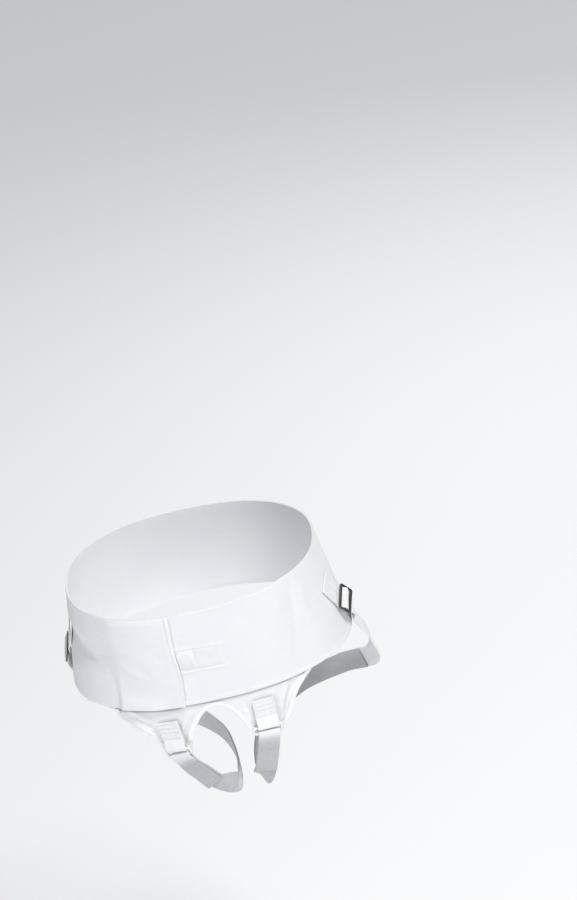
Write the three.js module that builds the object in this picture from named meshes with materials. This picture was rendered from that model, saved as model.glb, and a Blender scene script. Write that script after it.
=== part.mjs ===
// Hernia support belt, in its worn form. Millimetres, +Z up along the wearer's trunk.
// The front of the belt faces -Y; "left" and "right" are the -X and +X sides.
import * as THREE from 'three';

// Waist band
const bandHeight = 140;
const bandThick = 2;
const layerGap = 0.3;
const topBreadth = 287;
const topFront = 123;
const topBack = 95;
const hipBreadth = 326;
const hipFront = 94;
const hipBack = 132;
const squareness = 2.25;
const leftTrimFoot = 2.5;
const leftTrimTop = 6;
const flapReach = 34;
const flapOverlap = 71;
const hemWidth = 6;
const hemRise = 0.8;

// Closing tab on the flap
const closeLength = 54;
const closeHeight = 28;
const closeThick = 1.2;

// Front panel below the band
const panelWidth = 230;
const panelDrop = 75;
const panelThick = 1.4;
const panelTuck = 18;
const groinLean = 0.12;
const bindingWidth = 6;
const bindingThick = 0.7;

// Webbing, plastic loops and leg straps
const webWidth = 25;
const webThick = 1.2;
const loopBar = 3.4;
const loopSlot = 6;
const strapThick = 2;
const foldBack = 56;
const legDrop = 218;
const seamLap = 36;

// Metal slides
const slideLength = 20;
const slideBar = 2.5;
const slideThick = 2.2;

const lerp = (a, b, t) => a + (b - a) * t;
const clamp01 = (t) => Math.min(1, Math.max(0, t));
const smooth = (t) => clamp01(t) ** 2 * (3 - 2 * clamp01(t));
const power = (v, p) => Math.sign(v) * Math.abs(v) ** p;
const radians = THREE.MathUtils.degToRad;

// Body section at a share of the band height, 0 at the bottom edge and 1 at the top edge.
function section(angle, share) {
  const s = Math.sin(angle);
  const c = Math.cos(angle);
  const trim = lerp(leftTrimFoot, leftTrimTop, share) * Math.max(0, -s) ** 1.5;
  const half = lerp(hipBreadth, topBreadth, share) / 2 - trim;
  const centre = lerp(hipBack - hipFront, topBack - topFront, share) * 0.36;
  const front = lerp(hipFront, topFront, share) + centre;
  const back = lerp(hipBack, topBack, share) - centre;
  return [half * power(s, 2 / squareness), centre - (c > 0 ? front : back) * power(c, 2 / squareness)];
}

// Distance around the band at mid height, zero at the front centre.
const girthSteps = 1440;
const girth = [];
for (let i = 0, run = 0, last = section(-Math.PI, 0.5); i <= girthSteps; i++) {
  const p = section(-Math.PI + (2 * Math.PI * i) / girthSteps, 0.5);
  run += Math.hypot(p[0] - last[0], p[1] - last[1]);
  girth.push(run);
  last = p;
}
const around = girth[girthSteps];
const toFront = girth[girthSteps / 2];
function angleAt(u) {
  const d = (((u + toFront) % around) + around) % around;
  let lo = 0;
  let hi = girthSteps;
  while (hi - lo > 1) {
    const mid = (lo + hi) >> 1;
    if (girth[mid] > d) hi = mid;
    else lo = mid;
  }
  const t = (d - girth[lo]) / (girth[hi] - girth[lo]);
  return -Math.PI + (2 * Math.PI * (lo + t)) / girthSteps;
}

// Soft hollows: around (share of girth), height (share of band), half length, half height, depth mm.
const hollows = [
  [-0.2, 0.53, 0.11, 0.24, 4.5],
  [0.133, 0.62, 0.022, 0.62, 1.6],
];
function hollowDepth(u, share) {
  let depth = 0;
  for (const [at, level, long, tall, deep] of hollows) {
    const a = (u / around - at) / long;
    const b = (share - level) / tall;
    if (Math.abs(a) < 1 && Math.abs(b) < 1) depth += deep * (1 - a * a) ** 2 * (1 - b * b) ** 2;
  }
  return depth;
}

// Skin that the cloth lies on: the band's inner face and, below it, the groin.
function skinBase(u, z) {
  const share = clamp01(z / bandHeight + 0.5);
  const [x, y] = section(angleAt(u), share);
  return new THREE.Vector3(x, y + groinLean * Math.max(0, -bandHeight / 2 - z), z);
}
function skinNormal(u, z) {
  const across = skinBase(u + 1, z).sub(skinBase(u - 1, z));
  const low = Math.max(z - 1, -bandHeight / 2 + 0.01 > z ? z - 1 : -bandHeight / 2);
  const high = z < -bandHeight / 2 ? Math.min(z + 1, -bandHeight / 2) : Math.min(z + 1, bandHeight / 2);
  const up = skinBase(u, high + 0.5).sub(skinBase(u, low - 0.5));
  return across.cross(up).normalize();
}
function skin(u, z, out = 0) {
  const share = clamp01(z / bandHeight + 0.5);
  const edge = Math.min(1, share * 6);
  return skinBase(u, z).addScaledVector(skinNormal(u, z), out - hollowDepth(u, share) * edge);
}

function bend(geometry, place) {
  const at = geometry.attributes.position;
  for (let i = 0; i < at.count; i++) {
    const p = place(at.getX(i), at.getY(i), at.getZ(i));
    at.setXYZ(i, p.x, p.y, p.z);
  }
  at.needsUpdate = true;
  return faceOut(geometry);
}
// A mirrored bend turns a solid inside out, so its triangles are wound the other way round.
function faceOut(geometry) {
  const at = geometry.attributes.position;
  const index = geometry.index ? [...geometry.index.array] : [...Array(at.count).keys()];
  const corner = (i) => new THREE.Vector3().fromBufferAttribute(at, index[i]);
  let volume = 0;
  for (let i = 0; i < index.length; i += 3) volume += corner(i).dot(corner(i + 1).cross(corner(i + 2)));
  if (volume < 0) {
    for (let i = 0; i < index.length; i += 3) [index[i], index[i + 1]] = [index[i + 1], index[i]];
    geometry.setIndex(index);
  }
  return geometry;
}
const unitGrid = (nu, nv) => new THREE.BoxGeometry(1, 1, 1, nu, nv, 1).translate(0.5, 0.5, 0.5);

const group = new THREE.Group();
const finishes = {
  elastic: new THREE.MeshStandardMaterial({ color: '#e9ebf0', roughness: 0.85 }),
  cotton: new THREE.MeshStandardMaterial({ color: '#f4f4f4', roughness: 0.9 }),
  webbing: new THREE.MeshStandardMaterial({ color: '#eff0f4', roughness: 0.8 }),
  pile: new THREE.MeshStandardMaterial({ color: '#dcdce6', roughness: 0.95 }),
  plastic: new THREE.MeshStandardMaterial({ color: '#f2f2f0', roughness: 0.35 }),
  nickel: new THREE.MeshStandardMaterial({ color: '#b9b8b2', roughness: 0.22, metalness: 1 }),
};
function add(name, geometry, finish) {
  const mesh = new THREE.Mesh(geometry, finishes[finish]);
  mesh.name = name;
  group.add(mesh);
}

// Waist band: one strip that starts under the flap, runs around the back and ends at the flap.
const innerEnd = -(flapReach + flapOverlap);
const outerEnd = around - flapReach;
const layer = bandThick + layerGap;
add('waist_band', bend(unitGrid(150, 6), (a, b, c) => {
  const u = lerp(innerEnd, outerEnd, a);
  const z = (b - 0.5) * bandHeight * 0.99;
  const over = smooth((u - (around + innerEnd - 16)) / 12);
  const flare = over * smooth((0.2 - b) / 0.2) * smooth((outerEnd - 14 - u) / 22) * 2.2;
  const hem = u > outerEnd - hemWidth ? hemRise : 0;
  return skin(u > around / 2 ? u - around : u, z, over * layer + flare + c * (bandThick + hem));
}), 'elastic');

// Closing tab that carries the hook face, just past the flap's hem.
add('closing_tab', bend(unitGrid(16, 5), (a, b, c) => {
  const u = -flapReach + layerGap + a * closeLength;
  const z = lerp(lerp(-0.56, -0.68, a), lerp(0.44, 0.38, a), b) * closeHeight;
  return skin(u, z, layer + c * closeThick);
}), 'webbing');

// Front panel: columns run from the band's edge (around, share) down to the lower outline.
const halfPanel = panelWidth / 2;
const outline = [
  [-1.0, 0], [-1.0, 0.1], [-0.975, 0.215], [-0.885, 0.36], [-0.77, 0.53], [-0.66, 0.72], [-0.57, 0.93],
  [-0.46, 0.985], [-0.36, 0.96], [-0.335, 0.8], [-0.295, 0.6], [-0.235, 0.42], [-0.178, 0.28],
  [-0.1, 0.17], [-0.01, 0.138], [0.07, 0.225], [0.14, 0.41], [0.19, 0.62], [0.232, 0.8],
  [0.27, 0.86], [0.4, 0.91], [0.52, 0.9], [0.59, 0.79], [0.65, 0.64], [0.7, 0.46],
  [0.76, 0.3], [0.845, 0.16], [0.925, 0.055], [0.955, 0],
];
const outlineCurve = new THREE.CatmullRomCurve3(
  outline.map(([u, d]) => new THREE.Vector3(u * halfPanel, -d * panelDrop, 0)), false, 'centripetal');
outlineCurve.arcLengthDivisions = 1200;
const lastKnot = outline.length - 1;
const edgeAt = (knot) => outlineCurve.getPoint(knot / lastKnot);
// A point on the outline, moved by m across it: negative is toward the cloth.
function beside(knot, m) {
  const e = edgeAt(knot);
  const ahead = edgeAt(Math.min(lastKnot, knot + 0.15)).sub(edgeAt(Math.max(0, knot - 0.15)));
  ahead.normalize();
  return [e.x + ahead.y * m, e.y - ahead.x * m];
}
const panelTop = [
  -1.0, -0.985, -0.955, -0.9, -0.83, -0.75, -0.67, -0.57, -0.47, -0.405, -0.345, -0.28, -0.215,
  -0.14, -0.05, 0.035, 0.1, 0.155, 0.21, 0.27, 0.38, 0.49, 0.57, 0.635, 0.7, 0.765, 0.835, 0.9, 0.955,
];
const bandFoot = -bandHeight * 0.495;
add('front_panel', bend(unitGrid(68, 7), (a, b, c) => {
  const knot = a * lastKnot;
  const k = Math.min(lastKnot - 1, Math.floor(knot));
  const top = lerp(panelTop[k], panelTop[k + 1], knot - k) * halfPanel;
  const inset = bindingThick + layerGap;
  const [lowU, lowDrop] = beside(knot, -inset);
  const pull = THREE.MathUtils.clamp(top, -halfPanel + inset, halfPanel * 0.955 - inset);
  const foot = Math.min(-layerGap, lowDrop);
  const tuck = clamp01((1 - b) / 0.35);
  const u = b < 0.65 ? lerp(lowU, pull, b / 0.65) : pull;
  const drop = b < 0.65 ? lerp(foot, 0, b / 0.65) : lerp(panelTuck, 0, tuck);
  return skin(u, bandFoot + drop, -layerGap - (1 - c) * panelThick);
}), 'cotton');

// Bindings: a folded strip that wraps the cloth edge, bent along a run of the outline.
function binding(name, from, to, steps) {
  const w = bindingWidth;
  const t = bindingThick;
  const half = panelThick / 2 + layerGap + t;
  const fold = new THREE.Shape([
    [0, -half], [0, half], [-w, half], [-w, half - t], [-t, half - t],
    [-t, t - half], [-w, t - half], [-w, -half],
  ].map(([m, n]) => new THREE.Vector2(m, n)));
  const geometry = new THREE.ExtrudeGeometry(fold, { depth: 1, steps, bevelEnabled: false });
  const middle = -layerGap - panelThick / 2;
  add(name, bend(geometry, (m, n, f) => {
    const knot = lerp(from, to, f);
    const [u, drop] = beside(knot, m);
    return skin(u, bandFoot + Math.min(drop, -layerGap), middle + n);
  }), 'cotton');
}
// First and last outline knot of each binding, and its steps.
const leftLegRun = [0.35, 6.1, 30];
const archRun = [8.2, 18.6, 52];
const rightLegRun = [21.3, 27.6, 30];
binding('leg_binding_left', ...leftLegRun);
binding('arch_binding', ...archRun);
binding('leg_binding_right', ...rightLegRun);

// Rail: the centre line of one side's webbing, with its outward side.
function rail(stations) {
  const points = new THREE.CatmullRomCurve3(stations.map((s) => s.p), false, 'centripetal');
  const outs = new THREE.CatmullRomCurve3(stations.map((s) => s.n), false, 'centripetal');
  const count = 3000;
  const runs = [0];
  let last = points.getPoint(0);
  for (let i = 1; i <= count; i++) {
    const p = points.getPoint(i / count);
    runs.push(runs[i - 1] + p.distanceTo(last));
    last = p;
  }
  const normals = (t) => {
    const f = t * (stations.length - 1);
    const i = Math.min(stations.length - 2, Math.floor(f));
    return stations[i].n.clone().lerp(stations[i + 1].n, smooth(f - i)).normalize();
  };
  const share = (s) => {
    let lo = 0;
    let hi = count;
    while (hi - lo > 1) {
      const mid = (lo + hi) >> 1;
      if (runs[mid] > s) hi = mid;
      else lo = mid;
    }
    return (lo + (s - runs[lo]) / (runs[hi] - runs[lo])) / count;
  };
  return {
    knot: (i) => runs[Math.round((i / (stations.length - 1)) * count)],
    length: runs[count],
    place(s, n, w) {
      const t = clamp01(share(s));
      const along = points.getTangent(t);
      const out = normals(t);
      out.addScaledVector(along, -out.dot(along)).normalize();
      const wide = along.clone().cross(out);
      const over = s < 0 ? s : Math.max(0, s - runs[count]);
      return points.getPoint(t).addScaledVector(along, over).addScaledVector(out, n).addScaledVector(wide, w);
    },
  };
}

// A strip of cloth: its path of (along, out) points, given thickness and width.
function webStrip(name, track, path, thick, width, finish) {
  const faces = path.map(([s, n], i) => {
    const [s0, n0] = path[Math.max(0, i - 1)];
    const [s1, n1] = path[Math.min(path.length - 1, i + 1)];
    const half = thick / 2 / Math.hypot(s1 - s0, n1 - n0);
    return [[s + (n1 - n0) * half, n - (s1 - s0) * half], [s - (n1 - n0) * half, n + (s1 - s0) * half]];
  });
  const strip = unitGrid(path.length - 1, 1).translate(0, 0, -0.5);
  add(name, bend(strip, (a, b, c) => {
    const [s, n] = faces[Math.round(a * (path.length - 1))][Math.round(b)];
    return track.place(s, n, c * width);
  }), finish);
}
function steps(from, to, size) {
  const count = Math.max(1, Math.round(Math.abs(to - from) / size));
  return Array.from({ length: count + 1 }, (_, i) => lerp(from, to, i / count));
}
// Half turn around a bar at (s, n): from straight out, past the side "way" (-1 or 1), to straight in.
function turn(s, n, radius, way, count = 8) {
  return Array.from({ length: count + 1 }, (_, i) => {
    const a = (Math.PI * i) / count;
    return [s + way * radius * Math.sin(a), n + radius * Math.cos(a)];
  });
}

// Each side: panel station pairs (around mm share of half panel, drop share), then body stations
// (x share of half hips, y share of half depth, z share of leg drop, then the outward direction).
const halfHip = hipBreadth / 2;
const halfDepth = (hipFront + hipBack) / 2;
function side(name, sign, onPanel, onBody, onBand) {
  const stations = onPanel.map(([u, d, out, twist]) => {
    const z = bandFoot - d * panelDrop;
    const n = skinNormal(u * halfPanel, z).applyAxisAngle(new THREE.Vector3(0, 0, 1), radians(twist));
    return { p: skin(u * halfPanel, z, out), n };
  });
  for (const [x, y, z, nx, ny, nz] of onBody) {
    stations.push({
      p: new THREE.Vector3(sign * x * halfHip, y * halfDepth, z * legDrop),
      n: new THREE.Vector3(sign * nx, ny, nz).normalize(),
    });
  }
  // The slide's far bar stands off the band, its near bar lies close to it.
  const [nearU, nearZ, tailU, tailZ, footU, footZ, slack, slideLean] = onBand;
  const lift = bandThick + webThick * 2 + slideThick / 2 + 0.6;
  const near = skin(nearU * around, nearZ * bandHeight, lift);
  const nearOut = skinNormal(nearU * around, nearZ * bandHeight);
  const tailOut = bandThick + layerGap + webThick / 2 + slack;
  const tail = skin(tailU * around, tailZ * bandHeight, tailOut);
  const down = near.clone().sub(tail);
  down.addScaledVector(nearOut, -down.dot(nearOut)).normalize();
  const lean = radians(slideLean);
  const run = down.clone().multiplyScalar(Math.cos(lean)).addScaledVector(nearOut, Math.sin(lean));
  const plate = nearOut.clone().multiplyScalar(Math.cos(lean)).addScaledVector(down, -Math.sin(lean));
  const spot = (d) => near.clone().addScaledVector(run, d);
  const foot = skin(footU * around, footZ * bandHeight, bandThick + webThick / 2 + 1.6);
  stations.push({ p: foot, n: skinNormal(footU * around, footZ * bandHeight) });
  const first = stations.length;
  stations.push({ p: spot(slideLength + 4), n: plate }, { p: spot(slideLength), n: plate });
  stations.push({ p: spot(0), n: plate }, { p: spot(-3), n: plate });
  const landU = lerp(tailU, nearU, 0.55);
  const landZ = lerp(tailZ, nearZ, 0.55);
  const land = skin(landU * around, landZ * bandHeight, tailOut);
  stations.push({ p: land, n: skinNormal(landU * around, landZ * bandHeight) });
  stations.push({ p: tail, n: skinNormal(tailU * around, tailZ * bandHeight) });
  const track = rail(stations);

  // Ring tab: webbing folded around the plastic loop's upper bar.
  const ring = track.knot(1);
  const pitch = loopSlot + loopBar;
  const bar = loopBar / 2;
  const back = 0.1 + webThick / 2;
  const tabTurn = bar + layerGap + webThick / 2;
  const upper = ring - pitch / 2;
  const lower = ring + pitch / 2;
  const barOut = back + tabTurn;
  const front = back + webThick + layerGap;
  const tab = [
    ...steps(1, upper - 14, 7).map((s) => [s, front]),
    ...steps(upper - 11, upper - 3, 3).map((s) => [
      s, lerp(front, barOut + tabTurn, smooth((s - upper + 14) / 13)),
    ]),
    ...turn(upper, barOut, tabTurn, 1),
    ...steps(upper - 5, 1, 7).map((s) => [s, back]),
  ];
  webStrip(`ring_tab_${name}`, track, tab, webThick, webWidth, 'webbing');

  // Plastic loop: a round bar bent to a rounded rectangle.
  const wide = webWidth / 2 + 1 + bar;
  const tall = pitch / 2;
  const corner = 2.6;
  const loopPath = new THREE.CurvePath();
  const spots = [[-tall, wide], [tall, wide], [tall, -wide], [-tall, -wide]];
  spots.forEach(([s, w], i) => {
    const [ps, pw] = spots[(i + 3) % 4];
    const [qs, qw] = spots[(i + 1) % 4];
    const toward = (as, aw) => {
      const d = Math.hypot(as - s, aw - w);
      return new THREE.Vector3(s + ((as - s) / d) * corner, 0, w + ((aw - w) / d) * corner);
    };
    const c = new THREE.Vector3(s, 0, w);
    loopPath.add(new THREE.QuadraticBezierCurve3(toward(ps, pw), c, toward(qs, qw)));
    const [rs, rw] = spots[(i + 1) % 4];
    const d = Math.hypot(rs - s, rw - w);
    const end = new THREE.Vector3(rs - ((rs - s) / d) * corner, 0, rw - ((rw - w) / d) * corner);
    loopPath.add(new THREE.LineCurve3(toward(qs, qw), end));
  });
  const loop = new THREE.TubeGeometry(loopPath, 44, bar, 6, true);
  add(`strap_loop_${name}`, bend(loop, (s, n, w) => track.place(ring + s, barOut + n, w)), 'plastic');

  // Leg strap: free end folded back over the lower bar, then the long run under the leg.
  const strapTurn = bar + layerGap + strapThick / 2;
  const under = Math.max(0.1 + strapThick / 2, barOut - strapTurn);
  const over = under + strapThick + layerGap;
  const seam = track.knot(onPanel.length + onBody.length - 3);
  const lap = steps(seam, seam + seamLap, 4);
  const strap = [
    ...steps(lower + foldBack, lower + 12, 5).map((s) => [s, over]),
    ...steps(lower + 9, lower + 3, 3).map((s) => [
      s, lerp(over, barOut + strapTurn, smooth((lower + 12 - s) / 11)),
    ]),
    ...turn(lower, barOut, strapTurn, -1),
    ...steps(lower + 4, seam - 4, 6).map((s) => [
      s, lerp(barOut - strapTurn, under, smooth((s - lower) / 8)),
    ]),
    ...lap.map((s) => [s, under]),
  ];
  webStrip(`leg_strap_${name}`, track, strap, strapThick, webWidth, 'pile');

  // Hip strap: sewn over the leg strap's end, through the slide, then sewn to the band.
  const near0 = track.knot(first + 2);
  const pass = slideThick / 2 + layerGap + webThick / 2 + 0.1;
  const lapOut = under + strapThick / 2 + layerGap * 2 + webThick / 2;
  const farEdge = near0 - slideLength;
  const slot = (slideLength - 3 * slideBar) / 2;
  const hip = [
    ...lap.slice(1).map((s) => [s, lapOut]),
    ...steps(seam + seamLap + 4, farEdge - 12, 8).map((s) => [
      s, lerp(lapOut, 0, smooth((s - seam - seamLap) / 22)),
    ]),
    ...steps(farEdge - 8, farEdge - 2, 3).map((s) => [s, lerp(0, -pass, smooth((s - farEdge + 12) / 10))]),
    [farEdge + slideBar * 0.9, -pass],
    [farEdge + slideBar + slot * 0.5, 0],
    [farEdge + slideBar + slot * 0.96, pass],
    [farEdge + slideLength / 2, pass + 0.12],
    [farEdge + slideLength - slideBar - slot * 0.96, pass],
    [farEdge + slideLength - slideBar - slot * 0.5, 0],
    [farEdge + slideLength - slideBar * 0.9, -pass],
    ...steps(near0 + 1.5, near0 + 9, 2.5).map((s) => [s, lerp(-pass, 0, smooth((s - near0 - 1.5) / 8))]),
    ...steps(near0 + 13, track.length, 6).map((s) => [s, 0]),
  ];
  webStrip(`hip_strap_${name}`, track, hip, webThick, webWidth, 'webbing');

  // Slide: a flat metal plate with two slots.
  const outer = webWidth / 2 + 3;
  const r = 2.2;
  const rim = [];
  for (let i = 0; i < 16; i++) {
    const q = Math.floor(i / 4);
    const a = (Math.PI / 2) * (q + (i % 4) / 3);
    const cs = q === 0 || q === 3 ? slideLength - r : r;
    const cw = q < 2 ? outer - r : r - outer;
    rim.push(new THREE.Vector2(cs + r * Math.cos(a), cw + r * Math.sin(a)));
  }
  const plateShape = new THREE.Shape(rim);
  for (const [start, reach] of [[slideBar, outer - 2], [slideBar * 2 + slot, outer - 1.8]]) {
    const hole = new THREE.Path([
      [start, -reach], [start, reach], [start + slot, reach], [start + slot, -reach],
    ].map(([s, w]) => new THREE.Vector2(s, w)));
    plateShape.holes.push(hole);
  }
  const plateSolid = new THREE.ExtrudeGeometry(plateShape, {
    depth: slideThick, steps: 1, bevelEnabled: false,
  }).translate(0, 0, -slideThick / 2);
  add(`slide_${name}`, bend(plateSolid, (s, w, n) => track.place(farEdge + s, n, -w)), 'nickel');
}

side('left', -1, [
  [-0.51, 0.27, 1.3, -5], [-0.456, 0.853, 3.2, -12], [-0.38, 1.13, 4.6, -16], [-0.29, 1.31, 5.2, -15],
  [-0.177, 1.56, 5.2, -13],
], [
  [0.04, -0.74, -0.887, -0.45, -0.85, 0.1], [0.012, -0.42, -0.98, -1, -0.15, 0],
  [0.018, 0, -1, -1, 0, 0], [0.1, 0.45, -0.985, -0.8, 0.6, 0], [0.32, 0.8, -0.94, -0.2, 0.97, -0.05],
  [0.66, 0.87, -0.83, 0.35, 0.93, 0], [0.9, 0.72, -0.68, 0.8, 0.6, 0], [0.99, 0.45, -0.49, 0.97, 0.25, 0],
], [-0.26, -0.19, -0.243, 0.06, -0.275, -0.47, 1.5, 9]);
side('right', 1, [
  [0.402, 0.2, 1, 0], [0.388, 0.785, 1, 0], [0.335, 1.2, 1, 0], [0.265, 1.57, 1.2, -4],
], [
  [0.17, -0.6, -0.935, -0.45, -0.85, 0.1], [0.155, -0.34, -0.985, -0.92, -0.2, -0.3],
  [0.165, 0.05, -1, -0.92, 0.05, -0.3], [0.25, 0.48, -0.975, -0.7, 0.65, -0.2],
  [0.5, 0.84, -0.93, -0.2, 0.97, -0.05], [0.83, 0.86, -0.86, 0.45, 0.88, -0.05],
  [1.09, 0.62, -0.755, 0.88, 0.47, 0], [1.105, 0.36, -0.53, 0.98, 0.15, 0],
], [0.219, -0.117, 0.201, 0.14, 0.252, -0.46, 0.1, 21]);

export default group;
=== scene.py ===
import bisect
import math

import bmesh
import bpy
from mathutils import Matrix, Vector


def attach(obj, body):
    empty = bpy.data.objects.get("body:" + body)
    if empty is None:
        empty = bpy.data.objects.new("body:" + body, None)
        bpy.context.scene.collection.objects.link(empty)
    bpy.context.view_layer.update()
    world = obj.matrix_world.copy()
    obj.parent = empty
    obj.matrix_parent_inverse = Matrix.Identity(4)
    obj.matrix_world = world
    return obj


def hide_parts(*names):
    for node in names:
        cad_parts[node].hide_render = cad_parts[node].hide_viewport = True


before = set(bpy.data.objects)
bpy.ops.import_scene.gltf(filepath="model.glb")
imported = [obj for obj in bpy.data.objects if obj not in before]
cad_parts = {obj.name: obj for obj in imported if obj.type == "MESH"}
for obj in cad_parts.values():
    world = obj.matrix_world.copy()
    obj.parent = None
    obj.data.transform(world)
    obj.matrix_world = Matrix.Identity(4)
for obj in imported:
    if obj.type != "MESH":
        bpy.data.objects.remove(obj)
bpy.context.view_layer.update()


# Camera: a long lens a little above the belt, turned and tilted as the photograph was taken,
# 3.4 m from the belt's middle.
camera_place = Vector((0.24118, -2.91210, 1.82688))
camera_view = Vector((-0.03043, 0.86882, -0.49420)).normalized()
camera_up = Vector((0.21360, 0.48866, 0.84593))
camera_data = bpy.data.cameras.new("camera")
camera_data.lens = 121
camera_data.sensor_width = 36
camera = bpy.data.objects.new("camera", camera_data)
bpy.context.scene.collection.objects.link(camera)
camera_right = camera_view.cross(camera_up).normalized()
camera_up = camera_right.cross(camera_view)
camera.matrix_world = Matrix.Translation(camera_place) @ Matrix(
    (camera_right, camera_up, -camera_view)
).transposed().to_4x4()
bpy.context.scene.camera = camera


# Studio: a pale floor 0.9 m below the belt's middle, a bright even room, a large soft
# light from the upper front right, a cooler, weaker one from the left and one from behind.
class Wire:
    """A socket of a finish. Plain arithmetic on it adds Math nodes."""

    def __init__(self, finish, socket):
        self.finish = finish
        self.socket = socket

    def math(self, operation, *values):
        settings = {"operation": operation}
        return self.finish.node("ShaderNodeMath", settings, dict(enumerate(values)))

    def __add__(self, other):
        return self.math("ADD", self, other)

    __radd__ = __add__

    def __sub__(self, other):
        return self.math("SUBTRACT", self, other)

    def __rsub__(self, other):
        return self.math("SUBTRACT", other, self)

    def __mul__(self, other):
        return self.math("MULTIPLY", self, other)

    __rmul__ = __mul__

    def sine(self):
        return self.math("SINE", self)

    def band(self, low, high):
        """0 below low, 1 above high, and a soft step between."""
        settings = {"interpolation_type": "SMOOTHSTEP"}
        sockets = {"Value": self, "From Min": low, "From Max": high}
        return self.finish.node("ShaderNodeMapRange", settings, sockets)


class Finish:
    """A material with a Principled shader. Constants go on the shader's own sockets."""

    def __init__(self, name, **constants):
        self.material = bpy.data.materials.new(name)
        self.material.use_nodes = True
        self.tree = self.material.node_tree
        self.shader = self.tree.nodes["Principled BSDF"]
        for socket, value in constants.items():
            self.shader.inputs[socket.replace("_", " ")].default_value = value

    def feed(self, socket, value):
        if isinstance(value, Wire):
            self.tree.links.new(value.socket, socket)
        else:
            socket.default_value = value

    def node(self, kind, settings=None, sockets=None, out=0):
        made = self.tree.nodes.new(kind)
        for key, value in (settings or {}).items():
            setattr(made, key, value)
        for key, value in (sockets or {}).items():
            self.feed(made.inputs[key], value)
        return Wire(self, made.outputs[out])

    def mix(self, share, first, second):
        sockets = {0: share, 6: first, 7: second}
        return self.node("ShaderNodeMix", {"data_type": "RGBA"}, sockets, 2)

    def noise(self, scale, place, detail=2.0, rough=0.5):
        sockets = {"Vector": place, "Scale": scale, "Detail": detail, "Roughness": rough}
        return self.node("ShaderNodeTexNoise", None, sockets)

    def object_place(self):
        return self.node("ShaderNodeTexCoord", None, None, "Object")

    def flat_place(self):
        """Place on the cloth in metres before it was bent: along it and across it."""
        place = self.node("ShaderNodeUVMap", {"uv_map": "flat"})
        parts = [self.node("ShaderNodeSeparateXYZ", None, {0: place}, axis) for axis in ("X", "Y")]
        return [place, *parts]

    def stretched(self, place, along, across):
        scale = {"Vector": place, "Scale": (along, across, 1.0)}
        return self.node("ShaderNodeMapping", None, scale)

    def colour(self, value):
        self.feed(self.shader.inputs["Base Color"], value)

    def roughness(self, value):
        self.feed(self.shader.inputs["Roughness"], value)

    def relief(self, height, depth, strength=1.0):
        bump = {"Height": height, "Distance": depth, "Strength": strength}
        self.feed(self.shader.inputs["Normal"], self.node("ShaderNodeBump", None, bump))


floor_height, floor_half = -0.9, 9.0
floor_mesh = bpy.data.meshes.new("floor")
bm = bmesh.new()
bmesh.ops.create_grid(bm, x_segments=4, y_segments=4, size=floor_half)
bmesh.ops.translate(bm, verts=bm.verts, vec=(0, 0, floor_height))
bm.to_mesh(floor_mesh)
bm.free()
floor = bpy.data.objects.new("floor", floor_mesh)
bpy.context.scene.collection.objects.link(floor)
floor_finish = Finish("floor_paint", Roughness=0.8, Emission_Strength=0.2)
floor_finish.shader.inputs["Emission Color"].default_value = (0.96, 0.98, 1.0, 1)
floor_cloud = floor_finish.noise(1.5, floor_finish.object_place())
floor_finish.colour(
    floor_finish.mix(floor_cloud, (0.93, 0.93, 0.93, 1), (0.95, 0.95, 0.95, 1))
)
floor_mesh.materials.append(floor_finish.material)

world = bpy.data.worlds.new("room")
world.use_nodes = True
world.node_tree.nodes["Background"].inputs["Color"].default_value = (0.96, 0.98, 1.0, 1)
world.node_tree.nodes["Background"].inputs["Strength"].default_value = 0.31
bpy.context.scene.world = world
bpy.context.scene.view_settings.view_transform = "Standard"


def soft_light(name, place, aim, size, watts, colour):
    lamp = bpy.data.lights.new(name, "AREA")
    lamp.size = size
    lamp.energy = watts
    lamp.color = colour
    light = bpy.data.objects.new(name, lamp)
    light.location = place
    light.rotation_euler = (Vector(aim) - Vector(place)).to_track_quat("-Z", "Y").to_euler()
    bpy.context.scene.collection.objects.link(light)


soft_light("key_light", place=(1.3, -1.75, 2.9), aim=(0, 0, -0.05), size=0.8, watts=99,
           colour=(1.0, 0.99, 0.975))
soft_light("fill_light", place=(-1.7, -2.3, -0.3), aim=(0, 0, -0.08), size=1.1, watts=19,
           colour=(0.90, 0.95, 1.0))
soft_light("back_light", place=(0.9, 2.6, 0.9), aim=(0, 0, -0.08), size=1.1, watts=14,
           colour=(0.97, 0.98, 1.0))


# Waist band: one strip of 140 mm white elastic that starts under the flap, runs once around
# the hips and ends in the flap, whose end is turned over and sewn as a hem. It keeps the form
# that it has when worn.
MM = 0.001
band_height = 140.0
band_thick = 2.0
layer_gap = 0.3
top_breadth, top_front, top_back = 287.0, 123.0, 95.0
hip_breadth, hip_front, hip_back = 326.0, 94.0, 132.0
squareness = 2.25
centre_shift = 0.36
left_trim_foot, left_trim_top = 2.5, 6.0
flap_reach = 34.0
flap_overlap = 71.0
hem_width, hem_foot = 6.0, 3.2
hem_rise = 0.56
groin_lean = 0.12


def lerp(a, b, t):
    return a + (b - a) * t


def clamp01(t):
    return min(1.0, max(0.0, t))


def smooth(t):
    t = clamp01(t)
    return t * t * (3 - 2 * t)


def power(v, p):
    return math.copysign(abs(v) ** p, v)


def section(angle, share):
    """The band's section at a share of its height, 0 at its foot and 1 at its top."""
    s, c = math.sin(angle), math.cos(angle)
    trim = lerp(left_trim_foot, left_trim_top, share) * max(0.0, -s) ** 1.5
    half = lerp(hip_breadth, top_breadth, share) / 2 - trim
    centre = lerp(hip_back - hip_front, top_back - top_front, share) * centre_shift
    front = lerp(hip_front, top_front, share) + centre
    back = lerp(hip_back, top_back, share) - centre
    reach = front if c > 0 else back
    return half * power(s, 2 / squareness), centre - reach * power(c, 2 / squareness)


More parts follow.
